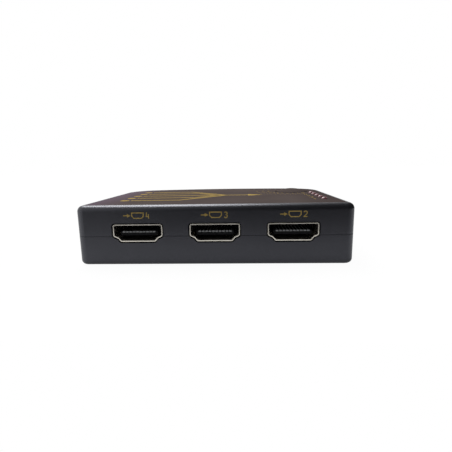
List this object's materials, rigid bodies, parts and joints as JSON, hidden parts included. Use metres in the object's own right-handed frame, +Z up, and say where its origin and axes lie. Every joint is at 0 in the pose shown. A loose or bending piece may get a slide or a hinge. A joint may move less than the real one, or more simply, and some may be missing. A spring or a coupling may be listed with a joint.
{
  "type": "hdmi switch box",
  "caption": "Low black HDMI switch box with a straight back panel, a bowed front, HDMI ports all round, a round select button, red indicator tips and a remote-control window.",
  "frame": {"origin": "middle of the underside, centred on the case's outline", "axes": "+X along the back panel, to the right when facing it from outside; +Y from the back panel to the bowed front; +Z up"},
  "size_m": [0.081, 0.0604, 0.019],
  "materials": {
    "case_plastic": "fine matte moulded texture",
    "label_film": "matt printed film",
    "steel": "plain steel",
    "shell_metal": "nickel-plated sheet",
    "bright_metal": "tinned metal",
    "contact_metal": "dull plated contact metal",
    "board": "green solder mask",
    "insulator": "black moulded plastic",
    "chip": "black epoxy",
    "ceramic": "fired ceramic",
    "red_clear": "clear red moulding",
    "dark_red_clear": "dark red infrared window",
    "led": "cast resin"
  },
  "bodies": {
    "case": {"top_shell": "case_plastic", "bottom_cover": "case_plastic", "top_label": "label_film", "case_screws": "steel", "switch_base": "chip", "switch_cover": "bright_metal", "switch_dome": "bright_metal", "switch_terminals": "bright_metal", "light_guide": "red_clear", "indicator_leds": "led", "ir_window": "dark_red_clear", "ir_receiver": "chip", "ir_leads": "bright_metal", "power_jack_housing": "insulator", "power_jack_pin": "bright_metal", "power_jack_spring": "contact_metal", "main_board": "board", "switch_chip": "chip", "switch_chip_leads": "bright_metal", "controller_chip": "chip", "controller_leads": "bright_metal", "voltage_regulator": "chip", "regulator_leads": "bright_metal", "crystal_can": "bright_metal", "power_capacitor": "bright_metal", "power_capacitor_base": "insulator", "small_capacitors": "ceramic", "small_resistors": "chip", "surge_arrays": "chip", "input_1_shell": "shell_metal", "input_1_insulator": "insulator", "input_1_contacts": "contact_metal", "input_2_shell": "shell_metal", "input_2_insulator": "insulator", "input_2_contacts": "contact_metal", "input_3_shell": "shell_metal", "input_3_insulator": "insulator", "input_3_contacts": "contact_metal", "input_4_shell": "shell_metal", "input_4_insulator": "insulator", "input_4_contacts": "contact_metal", "input_5_shell": "shell_metal", "input_5_insulator": "insulator", "input_5_contacts": "contact_metal", "output_shell": "shell_metal", "output_insulator": "insulator", "output_contacts": "contact_metal"},
    "button": {"select_button": "label_film", "switch_plunger": "insulator"}
  },
  "joints": [
    {"name": "button_press", "type": "slide", "parent": "case", "child": "button", "axis": [0, 0, -1], "range_m": [0, 0.0004], "stiffness_N_per_m": 5000, "deforming": ["switch_dome"]}
  ]
}
